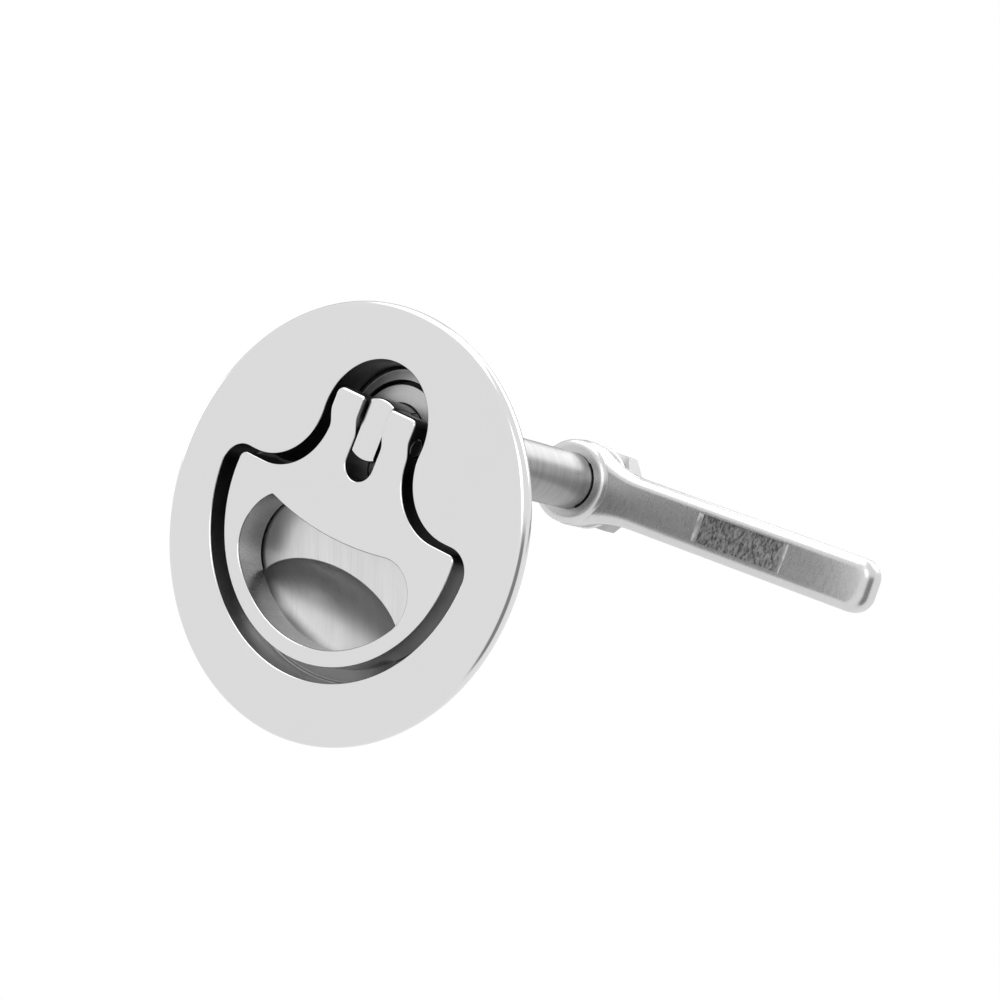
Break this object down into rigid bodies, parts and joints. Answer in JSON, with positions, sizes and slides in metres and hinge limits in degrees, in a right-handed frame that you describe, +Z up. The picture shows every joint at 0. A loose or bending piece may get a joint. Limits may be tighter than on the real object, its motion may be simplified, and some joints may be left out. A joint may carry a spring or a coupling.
{
  "type": "flush pull latch",
  "caption": "Round flush latch: a pull handle folds flat into a bell-shaped recess, and its spindle carries a clamped cam arm behind the panel.",
  "frame": {"origin": "centre of the flange's rear face, which seats on the hatch", "axes": "+Z up in the plane of the flange, from the finger hole towards the handle's hinge; +Y along the spindle, away from the user; +X towards the tip of the cam arm"},
  "size_m": [0.1039, 0.0806, 0.076],
  "materials": {
    "polished_steel": "mirror polished",
    "turned_steel": "turned, finely grooved",
    "cast_steel": "cast and linished, bright edges",
    "fastener_steel": "plain bright",
    "bush_steel": "turned",
    "seal_rubber": "matt"
  },
  "bodies": {
    "housing": {"housing": "polished_steel", "spindle_bush": "bush_steel", "wave_washer": "fastener_steel"},
    "spindle": {"spindle": "turned_steel", "spindle_seal": "seal_rubber", "barrel_washer": "fastener_steel", "retaining_ring": "fastener_steel", "cam_arm": "cast_steel", "arm_washer": "fastener_steel", "lock_washer": "fastener_steel", "hex_nut": "fastener_steel"},
    "handle": {"pull_handle": "polished_steel", "pivot_pin": "turned_steel"}
  },
  "joints": [
    {"name": "spindle_turn", "type": "hinge", "parent": "housing", "child": "spindle", "pos_m": [0, 0, 0.0168], "axis": [0, 1, 0], "range_deg": [-2.3, 2.3]},
    {"name": "handle_lift", "type": "hinge", "parent": "spindle", "child": "handle", "pos_m": [0, -0.001, 0.0168], "axis": [-1, 0, 0], "range_deg": [0, 90]}
  ]
}
